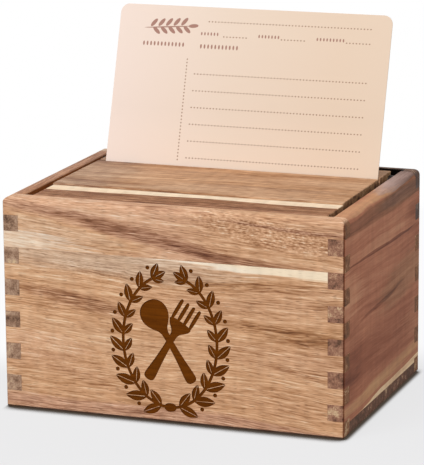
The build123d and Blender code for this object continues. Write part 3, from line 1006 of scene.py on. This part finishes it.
VIEW_ALONG_FLOOR = (-0.347, 0.938, 0.0)     # the way that the box is seen, along the floor
FADE_BEHIND = (20.0 * MM, 75.0 * MM)        # where the paper turns white behind the box's middle
FADE_FAR = (220.0 * MM, 400.0 * MM)         # and far away from it
CREASE_REACH = 7.0 * MM                     # how near the box has to be to darken the paper
SHADOW_RIGHT = 2.8 * MM                     # how far that shadow comes out on the box's right
SHADOW_LEFT = 1.2 * MM                      # and on its left
PAPER_CLOUDS = 3.0                          # mm: real fibres are finer, drawn as the faint clouds they make


def seen_rays(tree):
    """1 for the rays by which something is seen: from the camera, in reflections and through glass."""
    rays = add_node(tree, "ShaderNodeLightPath").outputs
    direct = add_node(tree, "ShaderNodeMath", {0: rays["Is Camera Ray"], 1: rays["Is Glossy Ray"]},
                      operation="MAXIMUM")
    return add_node(tree, "ShaderNodeMath", {0: direct, 1: rays["Is Transmission Ray"]},
                    operation="MAXIMUM")


def studio_floor():
    """Matt pale grey paper that fades to plain white behind and away from the box, with the shadow kept."""
    material, tree, place = new_material("pale_studio_paper")
    depth = add_node(tree, "ShaderNodeVectorMath", {0: place["Object"], 1: VIEW_ALONG_FLOOR},
                     operation="DOT_PRODUCT")
    behind = add_node(tree, "ShaderNodeMapRange",
                      {"Value": depth.outputs["Value"], "From Min": FADE_BEHIND[0],
                       "From Max": FADE_BEHIND[1]},
                      interpolation_type="SMOOTHSTEP")
    reach = add_node(tree, "ShaderNodeVectorMath", {0: place["Object"]}, operation="LENGTH")
    far = add_node(tree, "ShaderNodeMapRange",
                   {"Value": reach.outputs["Value"], "From Min": FADE_FAR[0], "From Max": FADE_FAR[1]},
                   interpolation_type="SMOOTHSTEP")
    white = add_node(tree, "ShaderNodeMath", {0: behind, 1: far}, operation="MAXIMUM")

    # What shines by itself is what the camera and reflections see; all other light only meets the paper.
    near_share = add_node(tree, "ShaderNodeMapRange", {"Value": behind, "To Min": 0.88, "To Max": 0.92})
    share = add_node(tree, "ShaderNodeMath", {0: near_share, 1: far}, operation="MAXIMUM")
    seen = seen_rays(tree)
    shining = add_node(tree, "ShaderNodeMath", {0: share, 1: seen}, operation="MULTIPLY")

    # Close under the box the shadow is deep and narrow, and narrowest beside its two sides.
    crease = add_node(tree, "ShaderNodeAmbientOcclusion", {"Distance": CREASE_REACH}, samples=16)
    contact = add_node(tree, "ShaderNodeMapRange",
                       {"Value": crease.outputs["AO"], "From Min": 0.975, "From Max": 0.475},
                       interpolation_type="SMOOTHSTEP")
    sideways = add_node(tree, "ShaderNodeSeparateXYZ", {0: place["Object"]}).outputs["X"]
    darkness = add_node(tree, "ShaderNodeMath", {0: contact, 1: seen}, operation="MULTIPLY")
    for edge, out in ((cad_high.x, SHADOW_RIGHT), (cad_low.x, -SHADOW_LEFT)):
        beside = add_node(tree, "ShaderNodeMapRange",
                          {"Value": sideways, "From Min": edge + out, "From Max": edge},
                          interpolation_type="SMOOTHSTEP")
        darkness = add_node(tree, "ShaderNodeMath", {0: darkness, 1: beside}, operation="MULTIPLY")
    shade = add_node(tree, "ShaderNodeMix", {0: darkness, 6: paint("#ffffff"), 7: paint("#554b41")},
                     data_type="RGBA")

    speckle = add_node(tree, "ShaderNodeTexNoise",
                       {"Vector": place["Object"], "Scale": PER_MM / PAPER_CLOUDS, "Detail": 2.0})
    tint = add_node(tree, "ShaderNodeValToRGB", {0: speckle})
    fill_ramp(tint.color_ramp, [(0.3, "#d2d2d2"), (0.7, "#d4d4d4")])
    lit_colour = add_node(tree, "ShaderNodeMix", {0: 1.0, 6: tint, 7: shade.outputs[2]},
                          data_type="RGBA", blend_type="MULTIPLY")
    glow_tint = add_node(tree, "ShaderNodeMix", {0: white, 6: paint("#eeeeef"), 7: paint("#ffffff")},
                         data_type="RGBA")
    glow_colour = add_node(tree, "ShaderNodeMix", {0: 1.0, 6: glow_tint.outputs[2], 7: shade.outputs[2]},
                           data_type="RGBA", blend_type="MULTIPLY")
    paper = add_node(tree, "ShaderNodeBsdfDiffuse", {"Color": lit_colour.outputs[2]})
    glow = add_node(tree, "ShaderNodeEmission", {"Color": glow_colour.outputs[2], "Strength": 1.0})
    mixed = add_node(tree, "ShaderNodeMixShader", {0: shining, 1: paper, 2: glow})
    add_node(tree, "ShaderNodeOutputMaterial", {0: mixed})
    return material


FLOOR_REACH = 4.0
floor_shape = bmesh.new()
bmesh.ops.create_grid(floor_shape, x_segments=4, y_segments=4, size=FLOOR_REACH)
bmesh.ops.translate(floor_shape, verts=floor_shape.verts, vec=(0.0, 0.0, cad_low.z))
floor_mesh = made_mesh("studio_floor", floor_shape)
floor_mesh.materials.append(studio_floor())
floor = put_in_scene("studio_floor", floor_mesh)

# Soft white light from all round, which the camera and reflections see as plain white.
WORLD_FILL = 0.55
world = bpy.data.worlds.new("white_studio")
world.use_nodes = True
world.node_tree.nodes.clear()
bpy.context.scene.world = world
sky = world.node_tree
fill_light = add_node(sky, "ShaderNodeBackground", {"Color": paint("#ffffff"), "Strength": WORLD_FILL})
backdrop = add_node(sky, "ShaderNodeBackground", {"Color": paint("#ffffff"), "Strength": 1.0})
either = add_node(sky, "ShaderNodeMixShader", {0: seen_rays(sky), 1: fill_light, 2: backdrop})
add_node(sky, "ShaderNodeOutputWorld", {0: either})

# A large softbox above the front left.
KEY_PLACE = Vector((-0.495, -1.36, 1.84))
KEY_AIM = Vector((0.0, 0.0, 0.05))
KEY_SIZE = 1.3
KEY_POWER = 35.5
key_data = bpy.data.lights.new("key_softbox", "AREA")
key_data.shape = "SQUARE"
key_data.size = KEY_SIZE
key_data.energy = KEY_POWER
key = put_in_scene("key_softbox", key_data)
key.location = KEY_PLACE
key.rotation_euler = (KEY_AIM - KEY_PLACE).to_track_quat("-Z", "Y").to_euler()

CAMERA_PLACE = Vector((0.41032, -1.11367, 0.34644))
CAMERA_AIM = Vector((0.00479, -0.01749, 0.07450))
CAMERA_ROLL = math.radians(-0.437)
CAMERA_LENS = 238.9
camera_data = bpy.data.cameras.new("studio_camera")
camera_data.sensor_fit = "HORIZONTAL"
camera_data.sensor_width = 36.0
camera_data.lens = CAMERA_LENS
camera_data.clip_start = 0.05
camera_data.clip_end = 20.0
camera = put_in_scene("studio_camera", camera_data)
camera.location = CAMERA_PLACE
level_view = (CAMERA_AIM - CAMERA_PLACE).to_track_quat("-Z", "Y").to_matrix()
camera.rotation_euler = (level_view @ Matrix.Rotation(CAMERA_ROLL, 3, "Z")).to_euler()
bpy.context.scene.camera = camera
bpy.context.scene.view_settings.view_transform = "Standard"
